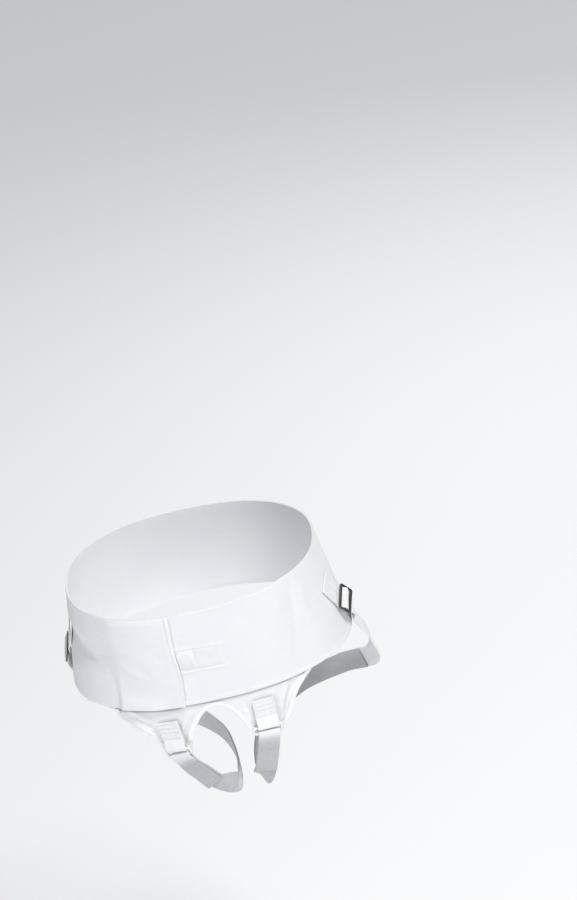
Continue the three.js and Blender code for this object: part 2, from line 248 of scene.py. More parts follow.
girth_steps = 1440
girth = [0.0]
last = section(-math.pi, 0.5)
for step in range(1, girth_steps + 1):
    here = section(-math.pi + 2 * math.pi * step / girth_steps, 0.5)
    girth.append(girth[-1] + math.dist(here, last))
    last = here
around = girth[-1]
to_front = girth[girth_steps // 2]


def angle_at(u):
    d = (u + to_front) % around
    i = min(girth_steps - 1, max(0, bisect.bisect_right(girth, d) - 1))
    t = (d - girth[i]) / (girth[i + 1] - girth[i])
    return -math.pi + 2 * math.pi * (i + t) / girth_steps


# Soft hollows: place around and up the band, half length and half height, all as shares of its
# girth and height, and depth in millimetres. They fade in above the foot, over a sixth of it.
hollow_fade = 6
hollows = [(-0.2, 0.53, 0.11, 0.24, 4.5), (0.133, 0.62, 0.022, 0.62, 1.6)]


def hollow_depth(u, share):
    depth = 0.0
    for at, level, long, tall, deep in hollows:
        a = (u / around - at) / long
        b = (share - level) / tall
        if abs(a) < 1 and abs(b) < 1:
            depth += deep * (1 - a * a) ** 2 * (1 - b * b) ** 2
    return depth


def skin_base(u, z):
    x, y = section(angle_at(u), clamp01(z / band_height + 0.5))
    return Vector((x, y + groin_lean * max(0.0, -band_height / 2 - z), z))


def skin_normal(u, z):
    foot = -band_height / 2
    across = skin_base(u + 1, z) - skin_base(u - 1, z)
    low = max(z - 1, z - 1 if foot + 0.01 > z else foot)
    high = min(z + 1, foot) if z < foot else min(z + 1, -foot)
    up = skin_base(u, high + 0.5) - skin_base(u, low - 0.5)
    return across.cross(up).normalized()


def skin(u, z, out=0.0):
    share = clamp01(z / band_height + 0.5)
    return skin_base(u, z) + skin_normal(u, z) * (
        out - hollow_depth(u, share) * min(1.0, share * hollow_fade)
    )


def creased(folds, u, z):
    """Sum of soft ridges and valleys, each from (u, z) to (u, z), half width, height."""
    lift = 0.0
    for u0, z0, u1, z1, wide, high in folds:
        du, dz = u1 - u0, z1 - z0
        span = du * du + dz * dz
        t = clamp01(((u - u0) * du + (z - z0) * dz) / span)
        off = math.hypot(u - u0 - du * t, z - z0 - dz * t) / wide
        if off < 1:
            lift += high * (1 - off * off) ** 2 * (0.35 + 0.65 * math.sin(math.pi * t))
    return lift


def steps(start, end, size):
    """Even places from start to end, about size apart."""
    count = max(1, round(abs(end - start) / size))
    return [lerp(start, end, i / count) for i in range(count + 1)]


def knots(*spans):
    """Grid lines for a run: (from, to, spacing) spans that follow each other."""
    lines = [spans[0][0]]
    for span in spans:
        lines += steps(*span)[1:]
    return lines


def as_piece(bm, name, finish):
    """The finished mesh as a smooth-faced piece of the one body."""
    for face in bm.faces:
        face.smooth = True
    mesh = bpy.data.meshes.new(name)
    bm.to_mesh(mesh)
    bm.free()
    mesh.materials.append(finish.material)
    piece = bpy.data.objects.new(name, mesh)
    bpy.context.scene.collection.objects.link(piece)
    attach(piece, "root")
    return piece


def thicken(piece, thick, side, edge, segments, angle):
    """Gives an open sheet its wall, on one side (-1) or on both (0), and rounds its edges."""
    wall = piece.modifiers.new("thickness", "SOLIDIFY")
    wall.thickness = thick * MM
    wall.offset = side
    rounded = piece.modifiers.new("soft_edges", "BEVEL")
    rounded.width = edge * MM
    rounded.segments = segments
    rounded.angle_limit = math.radians(angle)
    rounded.harden_normals = True


def cloth(name, columns, rows, lay, thick, side, finish, edge):
    """A flat grid laid over its form, then given its thickness and softened edges.

    lay(column, row) gives a place and the flat place (along, across), all in millimetres.
    """
    bm = bmesh.new()
    flat = bm.loops.layers.uv.new("flat")
    bmesh.ops.create_grid(bm, x_segments=len(columns) - 1, y_segments=len(rows) - 1, size=0.5)
    unbent = {}
    for v in bm.verts:
        column = columns[round((v.co.x + 0.5) * (len(columns) - 1))]
        row = rows[round((v.co.y + 0.5) * (len(rows) - 1))]
        place, at = lay(column, row)
        v.co = place * MM
        unbent[v] = Vector(at) * MM
    for face in bm.faces:
        for corner in face.loops:
            corner[flat].uv = unbent[corner.vert]
    piece = as_piece(bm, name, finish)
    thicken(piece, thick, side, edge, segments=2, angle=55)
    return piece


inner_end = -(flap_reach + flap_overlap)
outer_end = around - flap_reach
elastic = Finish("elastic", Sheen_Weight=0.15, Specular_IOR_Level=0.25)
flat, along, across = elastic.flat_place()
ribs = (across * (2 * math.pi / 0.0024)).sine()
ticks = (along * (2 * math.pi / 0.0016)).sine()
streaks = elastic.noise(1.0, elastic.stretched(flat, 9.0, 620.0), 3.0, 0.6)
clouds = elastic.noise(22.0, flat, 3.0)
white = elastic.mix(streaks.band(0.3, 0.75), (0.82, 0.838, 0.865, 1), (0.86, 0.87, 0.885, 1))
white = elastic.mix(clouds.band(0.35, 0.7) * 0.35, white, (0.88, 0.89, 0.90, 1))
hem = along.band((outer_end - 3.8) * MM, (outer_end - 3.0) * MM)
elastic.colour(elastic.mix(hem, white, (0.89, 0.892, 0.90, 1)))
elastic.roughness(0.78 + streaks * 0.14)
elastic.relief(ribs * 0.2 + ticks * ribs * 0.2 + streaks * 0.4, 0.00026, 0.5)

# Folds of the flap and of the strip's front, as creased() takes them.
flap_folds = [
    (-200, 14, -150, 5, 17, -2.2),
    (-156, 6, -128, -4, 11, -1.8),
    (-134, 5, -92, 15, 5, -0.5),
    (-97, 3, -72, -22, 9, 0.6),
    (-84, 8, -62, -10, 9, -0.4),
    (-68, 2, -54, -25, 8, 0.45),
    (-60, 20, -44, 2, 8, -0.4),
    (-126, -20, -108, -14, 8, 0.5),
    (-44, 66, -42, 10, 3.0, 0.3),
]
front_folds = [
    (120, 58, 110, 5, 8, -1.1),
    (110, 5, 95, -45, 8, -0.7),
    (134, 52, 126, 8, 7, 0.6),
    (98, 48, 88, 8, 12, 1.1),
    (-34, 17.2, -8, 16.2, 2.8, 1.0),
    (-10, 16.2, 28, 13.6, 2.8, 0.9),
    (-34, -18.5, -8, -18.5, 4.0, 0.9),
    (-10, -18.5, 26, -21, 4.0, 0.8),
    (30, 12, 33, -12, 3.5, 0.35),
    (40, 10, 43, -10, 3.5, 0.25),
]
# How far the flap's sewn end strays to the right of its cut line, by height.
hem_stray = [
    (-70, 0.2), (-46, 2.4), (-30, 3.6), (-11, 4.0), (6, 3.0), (34, 3.2), (54, 4.2), (70, 4.6),
]


def stray(z):
    for (z0, m0), (z1, m1) in zip(hem_stray, hem_stray[1:]):
        if z <= z1:
            return lerp(m0, m1, smooth((z - z0) / (z1 - z0)))
    return hem_stray[-1][1]


def hem_at(z):
    """Where the hem's inner edge runs: the hem is narrower toward the foot."""
    return outer_end - lerp(hem_foot, hem_width, smooth((z + 40) / 100))


half_band = band_height * 0.495
welt_height, welt_half, welt_rise = band_height * 0.474, 1.6, 0.25
# The layer under the flap: how far its end is drawn in and how softly its step shows through,
# each at the foot and at the top, and how far its own foot and top are kept out of sight.
drawn_foot, drawn_top = 5.0, 9.0
step_foot, step_top = 8.0, 26.0
under_lift, under_sink, under_from = 5.0, 2.5, -36.0
# The flap: its foot stands out and up a little, its top leans in.
foot_flare, foot_lift, top_lean, front_foot_out = 2.6, 3.0, 1.4, 0.6
# From which height these moves grow toward the foot or the top, and over how much: the wide
# ones and those of the very edge.
wide_from, wide_over, edge_from = 40.0, 28.0, 61.0


def lay_band(u, z):
    """Place on the strip, u along it from the front's middle and z up from half its height."""
    b = z / (2 * half_band) + 0.5
    flat_u = u
    drawn = lerp(drawn_foot, drawn_top, b)
    step_wide = lerp(step_foot, step_top, smooth((b - 0.2) / 0.5))
    over = smooth((u - around - inner_end - drawn) / step_wide + 1)
    flare = over * smooth((0.2 - b) / 0.2) * smooth((outer_end - 14 - u) / 22) * foot_flare
    out = over * (band_thick + layer_gap) + flare + band_thick
    out -= over * smooth((z - edge_from) / 8) * top_lean
    out += hem_rise * smooth((u - hem_at(z)) / 1.1)
    near_foot = smooth((-z - wide_from) / wide_over)
    if u > around / 2:
        out += creased(flap_folds, u - around, z) * smooth((outer_end - hem_width - u) / 5)
        z += over * near_foot * smooth((outer_end - 12 - u) / 40) * foot_lift
        u += stray(z) * smooth((u - outer_end + 40) / 34)
        here = u - around
    else:
        u += drawn * smooth((inner_end + 25 - u) / 22)
        here = u
        covered = smooth((under_from - u) / 5)
        z += under_lift * near_foot * covered
        z -= under_sink * smooth((z - wide_from) / wide_over) * covered
        out += front_foot_out * smooth((-z - edge_from) / 7)
        if u > inner_end + 70:
            out += creased(front_folds, here, z)
    welt = max(0.0, 1 - abs(abs(z) - welt_height) / welt_half)
    return skin(here, z, out + welt_rise * welt), (flat_u, z)


# Grid lines, closer together where the strip is folded, stepped or turned over.
band_columns = knots(
    (inner_end, under_from, 3.0),
    (under_from, 140, 1.6),
    (140, around - 235, 3.6),
    (around - 235, around - 114, 1.8),
    (around - 114, around - 96, 0.9),
    (around - 96, outer_end - hem_width - 1, 1.6),
    (outer_end - hem_width - 1, outer_end - hem_width + 0.8, 0.45),
    (outer_end - hem_width + 0.8, outer_end, 0.87),
)
band_rows = knots(
    (-half_band, -half_band + 4, 1.0),
    (-half_band + 4, half_band - 4, 1.75),
    (half_band - 4, half_band, 1.0),
)
waist_band = cloth(
    "waist_band_cloth", band_columns, band_rows, lay_band, band_thick, -1, elastic, edge=0.4
)
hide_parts("waist_band")


# A stitch's half length as a share of the pitch, its half width and half height as shares of
# the thread, and how far up the thread its middle lies.
stitch_long, stitch_wide, stitch_tall, stitch_up = 0.4, 0.62, 0.5, 0.12


def sew(name, seams, pitch=2.8, thick=0.45):
    """Rows of stitches. Each seam is a run of (place, outward direction) in millimetres."""
    bm = bmesh.new()
    for seam in seams:
        run = 0.0
        due = pitch / 2
        for (p0, n0), (p1, n1) in zip(seam, seam[1:]):
            gap = (p1 - p0).length
            while gap > 0 and run + gap >= due:
                t = (due - run) / gap
                along_seam = (p1 - p0).normalized()
                out = n0.lerp(n1, t)
                out = (out - along_seam * out.dot(along_seam)).normalized()
                turned = Matrix((along_seam, along_seam.cross(out), out)).transposed().to_4x4()
                sizes = (pitch * stitch_long, thick * stitch_wide, thick * stitch_tall, 1.0)
                spot = Matrix.Translation(p0.lerp(p1, t) + out * thick * stitch_up)
                bmesh.ops.create_uvsphere(
                    bm, u_segments=6, v_segments=4, radius=1.0,
                    matrix=spot @ turned @ Matrix.Diagonal(sizes),
                )
                due += pitch
            run += gap
    bmesh.ops.scale(bm, verts=bm.verts, vec=(MM, MM, MM))
    stitches = as_piece(bm, name, thread)
    return stitches


thread = Finish("thread", Roughness=0.6, Sheen_Weight=0.2)
twist = thread.noise(900.0, thread.object_place(), 1.0)
# Painted shade: the thread is kept greyer than the white cloth, so that the stitch rows read as
# shaded lines.
thread.colour(thread.mix(twist, (0.66, 0.67, 0.70, 1), (0.84, 0.84, 0.86, 1)))
thread.relief(twist, 0.0001, 0.5)


def on_band(u, z):
    here = lay_band(u, z)[0]
    return here, skin_normal(u, z)


def band_seam(points):
    """A seam over (u, z) points of the strip, with a place on each millimetre."""
    lines = []
    for (u0, z0), (u1, z1) in zip(points, points[1:]):
        count = max(1, round(math.hypot(u1 - u0, z1 - z0)))
        lines += [on_band(lerp(u0, u1, i / count), lerp(z0, z1, i / count)) for i in range(count)]
    return lines + [on_band(*points[-1])]


hem_rows = steps(2 - half_band, half_band - 2, (2 * half_band - 4) / 12)
band_stitches = sew(
    "waist_band_stitches", [band_seam([(hem_at(z) + 1.5, z) for z in hem_rows])], 3.0
)


# Closing tab: a short cloth patch past the hem of the flap that carries the hook tape on its
# under face. It is pressed flat on the band and crossed by a double row of stitches.
close_length, close_height, close_thick = 54.0, 28.0, 0.5
close_seams = (0.40, 0.55)
quilt_rise, ridge_rise, rim_rise = 1.5, 0.35, 0.45


def on_closing(a, b):
    z = lerp(lerp(-0.53, -0.62, a), lerp(0.52, 0.4, a), b) * close_height
    start = -flap_reach + layer_gap + stray(z)
    return lerp(start, close_length - flap_reach, a), z


def lay_closing(a, b):
    """Thin at its edges and quilted by its seams, so that it seems pressed into the band."""
    u, z = on_closing(a, b)
    rim = smooth(min(b, 1 - b) * close_height / 2.5) * smooth((1 - a) * close_length / 3)
    cell = smooth(a / 0.1) * smooth((close_seams[0] - a) / 0.1)
    cell += 0.2 * smooth((a - close_seams[1] + 0.01) / 0.1)
    quilt = cell * (1 - (2 * b - 1) ** 2) * quilt_rise * smooth((1 - a) / 0.1)
    ridge = smooth((a - close_seams[0] - 0.01) / 0.03) * smooth((close_seams[1] - a) / 0.03)
    rise = rim * rim_rise + quilt + ridge * ridge_rise
    return skin(u, z, band_thick + close_thick / 2 + rise), (u, z)


hook_tab = Finish("hook_tab_cloth", Sheen_Weight=0.1, Specular_IOR_Level=0.25)
flat, along, across = hook_tab.flat_place()
threads = (along * (2 * math.pi / 0.0013)).sine() * (across * (2 * math.pi / 0.0013)).sine()
blotch = hook_tab.noise(60.0, flat, 3.0)
hook_tab.colour(
    hook_tab.mix(blotch.band(0.3, 0.7), (0.86, 0.865, 0.885, 1), (0.90, 0.90, 0.915, 1))
)
hook_tab.roughness(0.75 + blotch * 0.15)
hook_tab.relief(threads * 0.5 + blotch, 0.0003, 0.7)
closing_tab = cloth(
    "closing_tab_cloth", steps(0, 1, 1 / 36), steps(0, 1, 1 / 16), lay_closing,
    close_thick, -1, hook_tab, edge=0.15,
)
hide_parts("closing_tab")


def closing_seam(a0, b0, a1, b1, count=40):
    seam = []
    for i in range(count + 1):
        a, b = lerp(a0, a1, i / count), lerp(b0, b1, i / count)
        seam.append((lay_closing(a, b)[0], skin_normal(*on_closing(a, b))))
    return seam


closing_rows = [closing_seam(a, 0.04, a, 0.96) for a in close_seams]
closing_rows.append(closing_seam(0.03, 0.95, 0.97, 0.95))
closing_stitches = sew("closing_tab_stitches", closing_rows, 2.6, 0.4)


# Front panel: a single layer of soft white cotton sewn under the band's lower edge. It comes
# down to two points that carry the leg straps, with an arch cut out between them.
panel_width, panel_drop, panel_thick, panel_tuck = 230.0, 75.0, 1.4, 18.0
half_panel = panel_width / 2
band_foot = -half_band
# The cut outline from left to right: along (share of half the width), down (share of the drop).
outline = [
    (-1.0, 0), (-1.0, 0.1), (-0.975, 0.215), (-0.885, 0.36), (-0.77, 0.53), (-0.66, 0.72),
    (-0.57, 0.93), (-0.46, 0.985), (-0.36, 0.96), (-0.335, 0.8), (-0.295, 0.6), (-0.235, 0.42),
    (-0.178, 0.28), (-0.1, 0.17), (-0.01, 0.138), (0.07, 0.225), (0.14, 0.41), (0.19, 0.62),
    (0.232, 0.8), (0.27, 0.86), (0.4, 0.91), (0.52, 0.9), (0.59, 0.79), (0.65, 0.64),
    (0.7, 0.46), (0.76, 0.3), (0.845, 0.16), (0.925, 0.055), (0.955, 0),
]
# Where each of those points pulls from along the band's foot, and the share of the rows of
# cloth that hang below it.
hang = 0.65
panel_top = [
    -1.0, -0.985, -0.955, -0.9, -0.83, -0.75, -0.67, -0.57, -0.47, -0.405, -0.345, -0.28, -0.215,
    -0.14, -0.05, 0.035, 0.1, 0.155, 0.21, 0.27, 0.38, 0.49, 0.57, 0.635, 0.7, 0.765, 0.835, 0.9,
    0.955,
]


def curve_point(points, f):
    """A smooth curve through points, at knot f (centripetal Catmull-Rom)."""
    i = min(len(points) - 2, max(0, int(f)))
    t = f - i
    p1, p2 = points[i], points[i + 1]
    p0 = points[i - 1] if i > 0 else p1 * 2 - p2
    p3 = points[i + 2] if i + 2 < len(points) else p2 * 2 - p1
    d0, d1, d2 = ((b - a).length ** 0.5 for a, b in ((p0, p1), (p1, p2), (p2, p3)))
    t1 = ((p1 - p0) / d0 - (p2 - p0) / (d0 + d1) + (p2 - p1) / d1) * d1
    t2 = ((p2 - p1) / d1 - (p3 - p1) / (d1 + d2) + (p3 - p2) / d2) * d1
    return p1 + t1 * t + (p2 * 3 - p1 * 3 - t1 * 2 - t2) * t * t + (
        p1 * 2 - p2 * 2 + t1 + t2
    ) * t * t * t


outline_points = [Vector((u * half_panel, -d * panel_drop, 0)) for u, d in outline]
last_knot = len(outline) - 1


def edge_at(knot):
    return curve_point(outline_points, min(last_knot, max(0.0, knot)))


def beside(knot, m):
    """A point on the outline, moved by m across it: negative is toward the cloth."""
    e = edge_at(knot)
    ahead = (edge_at(knot + 0.15) - edge_at(knot - 0.15)).normalized()
    return e.x + ahead.y * m, e.y - ahead.x * m


binding_width, binding_thick, tape_width = 6.0, 0.7, 14.0
# How far the panel stands back under the band's front and under the deeper flap, and its folds.
sunk_front, sunk_flap = 1.3, 3.0
panel_folds = [
    (-106, -80, -72, -118, 4.5, 1.7),
    (-99, -77, -74, -104, 3.0, -1.8),
    (-92, -76, -70, -94, 6, 1.4),
    (-48, -114, -34, -82, 3.6, 1.7),
    (-41, -112, -27, -84, 3.2, -1.4),
    (-56, -88, -40, -78, 5, 0.7),
    (30, -84, 28, -116, 4, 0.5),
    (27, -82, 28, -108, 4.5, -2.0),
    (84, -76, 66, -120, 6, -3.2),
    (92, -76, 74, -112, 5, 0.9),
    (64, -78, 63, -100, 5, -0.6),
    (36, -76, 62, -84, 4, 0.6),
    (-22, -76, 8, -74, 4, 0.5),
]


def panel_place(a, b):
    """Along and down the panel, for shares a along the outline and b up from its cut edge."""
    knot = a * last_knot
    k = min(last_knot - 1, int(knot))
    top = lerp(panel_top[k], panel_top[k + 1], knot - k) * half_panel
    inset = binding_thick + layer_gap
    low_u, low_drop = beside(knot, -inset)
    pull = min(half_panel * outline[-1][0] - inset, max(inset - half_panel, top))
    foot = min(-layer_gap, low_drop)
    if b < hang:
        return lerp(low_u, pull, b / hang), lerp(foot, 0, b / hang)
    return pull, lerp(panel_tuck, 0, clamp01((1 - b) / (1 - hang)))


def lay_panel(a, b):
    u, drop = panel_place(a, b)
    ease = smooth(b / 0.12) * smooth((0.62 - b) / 0.1)
    out = -layer_gap + creased(panel_folds, u, band_foot + drop) * ease
    out -= lerp(sunk_front, sunk_flap, smooth((-u - 34) / 8)) * smooth((drop + 4.5) / 3.5)
    return skin(u, band_foot + drop, out), (u, drop)


cotton = Finish("cotton", Sheen_Weight=0.2, Specular_IOR_Level=0.2)
flat, along, across = cotton.flat_place()
weave = (along * (2 * math.pi / 0.0011)).sine() * (across * (2 * math.pi / 0.0011)).sine()
crumple = cotton.noise(1.0, cotton.stretched(flat, 70.0, 95.0), 4.0, 0.55)
cotton_tone = cotton.mix(crumple.band(0.3, 0.7), (0.865, 0.875, 0.895, 1), (0.905, 0.907, 0.915, 1))
# Painted light: the left corner is painted whiter, where the cloth turns away from the key light.
# Painted shade: the cotton is painted grey close under the band, where little light comes, with
# the grey 3.4 mm lower under the flap.
corner = 1 - along.band(-0.090, -0.050)
cotton_tone = cotton.mix(corner, cotton_tone, (0.96, 0.96, 0.962, 1))
under_flap = (1 - along.band(-0.046, -0.030)) * 0.0034
painted_shade = (across + under_flap).band(-0.0052, -0.0022)
cotton.colour(cotton.mix(painted_shade, cotton_tone, (0.46, 0.47, 0.49, 1)))
cotton.roughness(0.82 + crumple * 0.12)
cotton.relief(weave * 0.1 + crumple, 0.0011, 0.75)
front_panel = cloth(
    "front_panel_cloth", steps(0, 1, 1 / 260), steps(0, 1, 1 / 52), lay_panel,
    panel_thick, -1, cotton, edge=0.25,
)
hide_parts("front_panel")


# Bindings: strips of folded white tape that wrap the panel's cut edges, along both leg
# openings and around the arch, each sewn through with one row of stitches.
binding_cloth = Finish("binding_tape", Sheen_Weight=0.2, Specular_IOR_Level=0.25)
flat, along, across = binding_cloth.flat_place()
twill = ((along + across) * (2 * math.pi / 0.0015)).sine()
pucker = binding_cloth.noise(1.0, binding_cloth.stretched(flat, 260.0, 60.0), 2.0)
binding_cloth.colour(
    binding_cloth.mix(pucker.band(0.3, 0.7), (0.94, 0.94, 0.945, 1), (0.97, 0.97, 0.97, 1))
)
binding_cloth.roughness(0.74 + pucker * 0.12)
binding_cloth.relief(twill * 0.12 + pucker, 0.0006, 0.7)
binding_middle = -layer_gap - panel_thick / 2
binding_half = panel_thick / 2 + layer_gap + binding_thick / 2


def tape_fold(row):
    """Across the tape: 0 at its inner back edge, 1 at its front edge; (across edge, out)."""
    reach = binding_width - binding_half
    turn_run = math.pi * binding_half
    total = 2 * reach + turn_run
    d = row * total
    if d < reach:
        return -binding_width + d, -binding_half
    if d > reach + turn_run:
        return -binding_half - (d - reach - turn_run), binding_half
    a = (d - reach) / binding_half - math.pi / 2
    return -binding_half + binding_half * math.cos(a), binding_half * math.sin(a)


def on_tape(knot, m, n):
    u, drop = beside(knot, m)
    return skin(u, band_foot + min(drop, -layer_gap), binding_middle + n), (u, drop)


# The front of each tape puffs up a little between its stitches.
puff_rise, puff_run = 0.18, 2.3
for name, start, end, count in (
    ("leg_binding_left", 0.35, 6.1, 100),
    ("arch_binding", 8.2, 18.6, 170),
    ("leg_binding_right", 21.3, 27.6, 100),
):
    lines = steps(start, end, (end - start) / count)
    runs = [0.0]
    for k0, k1 in zip(lines, lines[1:]):
        runs.append(runs[-1] + (edge_at(k1) - edge_at(k0)).length)

    def lay_tape(knot, row, lines=lines, runs=runs):
        m, n = tape_fold(row)
        length = runs[lines.index(knot)]
        puff = puff_rise * math.sin(length / puff_run) * math.sin(math.pi * row)
        return on_tape(knot, m, n + (puff if n > 0 else 0))[0], (length, row * tape_width)

    tape = cloth(
        name + "_tape", lines, steps(0, 1, 1 / 18), lay_tape, binding_thick, 0, binding_cloth,
        edge=0.15,
    )
    seam = []
    for knot in lines[1:-1]:
        place, (u, drop) = on_tape(knot, -binding_width + 1.3, binding_half + binding_thick / 2)
        seam.append((place, skin_normal(u, band_foot + drop)))
    tape_stitches = sew(name + "_stitches", [seam], 2.6, 0.4)
    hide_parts(name)


# Webbing runs: on each side the ring tab, the strap loop, the leg strap, the slide and the
# hip strap follow one line from the panel, down, back and up to the outside of the band. The
# tabs and hip straps are woven white webbing, 25 mm wide.
web_width, web_thick = 25.0, 1.2
loop_bar, loop_slot = 3.4, 6.0
strap_thick, fold_back = 2.0, 56.0
leg_drop, seam_lap = 218.0, 36.0
slide_length, slide_bar, slide_thick = 20.0, 2.5, 2.2
half_hip = hip_breadth / 2
half_depth = (hip_front + hip_back) / 2


class Rail:
    """The centre line of one side's webbing, with its outward side."""

    def __init__(self, stations):
        self.points = [p for p, n in stations]
        self.outs = [n for p, n in stations]
        self.count = 3000
        self.spans = len(stations) - 1
        self.runs = [0.0]
        before = self.points[0]
        for i in range(1, self.count + 1):
            p = curve_point(self.points, self.spans * i / self.count)
            self.runs.append(self.runs[-1] + (p - before).length)
            before = p
        self.length = self.runs[-1]
        self.frames = {}

    def knot(self, i):
        return self.runs[round(i / self.spans * self.count)]

    def frame_at(self, s):
        if s not in self.frames:
            i = min(self.count - 1, max(0, bisect.bisect_right(self.runs, s) - 1))
            share = (i + (s - self.runs[i]) / (self.runs[i + 1] - self.runs[i])) / self.count
            t = clamp01(share)
            ahead, behind = min(1.0, t + 0.0001), max(0.0, t - 0.0001)
            along = curve_point(self.points, ahead * self.spans)
            along = (along - curve_point(self.points, behind * self.spans)).normalized()
            f = t * self.spans
            k = min(self.spans - 1, int(f))
            out = self.outs[k].lerp(self.outs[k + 1], smooth(f - k))
            out = (out - along * out.dot(along)).normalized()
            past = s if s < 0 else max(0.0, s - self.length)
            start = curve_point(self.points, f) + along * past
            self.frames[s] = start, out, along.cross(out)
        return self.frames[s]

    def place(self, s, n, w):
        start, out, wide = self.frame_at(s)
        return start + out * n + wide * w


def side_stations(sign, on_panel, at_back, hooked):
    """The places and outward sides of one side's line, and the slide's first place in it."""
    stations = []
    for u, d, out, twist in on_panel:
        u, z = u * half_panel, band_foot - d * panel_drop
        turned = Matrix.Rotation(math.radians(twist), 3, "Z") @ skin_normal(u, z)
        stations.append((skin(u, z, out), turned))
    for x, y, z, nx, ny, nz in at_back:
        place = Vector((sign * x * half_hip, y * half_depth, z * leg_drop))
        stations.append((place, Vector((sign * nx, ny, nz)).normalized()))
    near_u, near_z, tail_u, tail_z, foot_u, foot_z, slack, lean = hooked
    slide_lean = math.radians(lean)

    def on_skin(u, z, out):
        return skin(u * around, z * band_height, out), skin_normal(u * around, z * band_height)

    slide_out = band_thick + web_thick * 2 + slide_thick / 2 + 0.6
    near, near_out = on_skin(near_u, near_z, slide_out)
    tail_out = band_thick + layer_gap + web_thick / 2 + slack
    tail = on_skin(tail_u, tail_z, tail_out)
    down = near - tail[0]
    down = (down - near_out * down.dot(near_out)).normalized()
    run = down * math.cos(slide_lean) + near_out * math.sin(slide_lean)
    plate = near_out * math.cos(slide_lean) - down * math.sin(slide_lean)
    stations.append(on_skin(foot_u, foot_z, band_thick + web_thick / 2 + 1.6))
    first = len(stations)
    stations += [(near + run * d, plate) for d in (slide_length + 4, slide_length, 0, -3)]
    mid_u, mid_z = lerp(tail_u, near_u, 0.55), lerp(tail_z, near_z, 0.55)
    stations.append(on_skin(mid_u, mid_z, tail_out))
    stations.append(tail)
    return stations, first


# For each side: its sign along x, then its stations. On the panel: along (share of half its
# width), down (share of its drop), out and twist in degrees. At the back: shares of half the
# hips, of half the depth and of the drop of the straps, and the outward side. Last, around and
# up the band as shares: the slide's near end, the sewn tail and the foot of the run; then the
# tail's slack and the slide's lean in degrees.
side_runs = {
    "left": (
        -1,
        [(-0.51, 0.27, 1.3, -5), (-0.456, 0.853, 3.2, -12), (-0.38, 1.13, 4.6, -16),
         (-0.29, 1.31, 5.2, -15), (-0.177, 1.56, 5.2, -13)],
        [(0.04, -0.74, -0.887, -0.45, -0.85, 0.1), (0.012, -0.42, -0.98, -1, -0.15, 0),
         (0.018, 0, -1, -1, 0, 0), (0.1, 0.45, -0.985, -0.8, 0.6, 0),
         (0.32, 0.8, -0.94, -0.2, 0.97, -0.05), (0.66, 0.87, -0.83, 0.35, 0.93, 0),
         (0.9, 0.72, -0.68, 0.8, 0.6, 0), (0.99, 0.45, -0.49, 0.97, 0.25, 0)],
        (-0.26, -0.19, -0.243, 0.06, -0.275, -0.47, 1.5, 9),
    ),
    "right": (
        1,
        [(0.402, 0.2, 1.0, 0), (0.388, 0.785, 1.0, 0), (0.335, 1.2, 1.0, 0),
         (0.265, 1.57, 1.2, -4)],
        [(0.17, -0.6, -0.935, -0.45, -0.85, 0.1), (0.155, -0.34, -0.985, -0.92, -0.2, -0.3),
         (0.165, 0.05, -1, -0.92, 0.05, -0.3), (0.25, 0.48, -0.975, -0.7, 0.65, -0.2),
         (0.5, 0.84, -0.93, -0.2, 0.97, -0.05), (0.83, 0.86, -0.86, 0.45, 0.88, -0.05),
         (1.09, 0.62, -0.755, 0.88, 0.47, 0), (1.105, 0.36, -0.53, 0.98, 0.15, 0)],
        (0.219, -0.117, 0.201, 0.14, 0.252, -0.46, 0.1, 21),
    ),
}
rails = {}
pitch = loop_slot + loop_bar
bar = loop_bar / 2
tab_back = 0.1 + web_thick / 2
tab_turn = bar + layer_gap + web_thick / 2
bar_out = tab_back + tab_turn
tab_front = tab_back + web_thick + layer_gap
for name, (sign, on_panel, at_back, hooked) in side_runs.items():
    stations, first = side_stations(sign, on_panel, at_back, hooked)
    rail = Rail(stations)
    rail.ring = rail.knot(1)
    rail.upper = rail.ring - pitch / 2
    rail.lower = rail.ring + pitch / 2
    rail.seam = rail.knot(len(on_panel) + len(at_back) - 3)
    rail.near = rail.knot(first + 2)
    rails[name] = rail


def half_turn(s, n, radius, way, count=16):
    """Around a bar at (s, n): from straight out, past the side way (-1 or 1), to straight in."""
    turns = [math.pi * i / count for i in range(count + 1)]
    return [(s + way * radius * math.sin(a), n + radius * math.cos(a)) for a in turns]


# An end that strays does so from this far along the strap, over this length.
drift_from, drift_over = 48.0, 34.0


def web_strip(name, rail, path, thick, finish, relief, edge, drift=0.0):
    """Webbing along a path of (along, out) points; relief(run, across) lifts its faces.

    Its first end strays sideways by drift. Gives the piece and its length.
    """
    runs = [0.0]
    for p0, p1 in zip(path, path[1:]):
        runs.append(runs[-1] + math.dist(p0, p1))

    def lay(i, w):
        s, n = path[i]
        s0, n0 = path[max(0, i - 1)]
        s1, n1 = path[min(len(path) - 1, i + 1)]
        size = math.hypot(s1 - s0, n1 - n0)
        lift = relief(runs[i], w)
        s, n = s - (n1 - n0) / size * lift, n + (s1 - s0) / size * lift
        strayed = w + drift * smooth((drift_from - runs[i]) / drift_over)
        return rail.place(s, n, strayed), (runs[i], w)

    across = steps(web_width / 2, -web_width / 2, web_width / 10)
    piece = cloth(name, range(len(path)), across, lay, thick, 0, finish, edge)
    return piece, runs[-1]


webbing = Finish("webbing", Sheen_Weight=0.12, Specular_IOR_Level=0.3)
flat, along, across = webbing.flat_place()
cords = (across * (2 * math.pi / 0.0017)).sine()
picks = (along * (2 * math.pi / 0.0012)).sine()
dull = webbing.noise(1.0, webbing.stretched(flat, 40.0, 260.0), 3.0)
webbing.colour(
    webbing.mix(dull.band(0.3, 0.7), (0.84, 0.845, 0.865, 1), (0.89, 0.89, 0.905, 1))
)
webbing.roughness(0.7 + dull * 0.15)
webbing.relief(cords * 0.3 + cords * picks * 0.2 + dull * 0.4, 0.00025, 0.6)


def flat_web(run, w):
    return 0.0


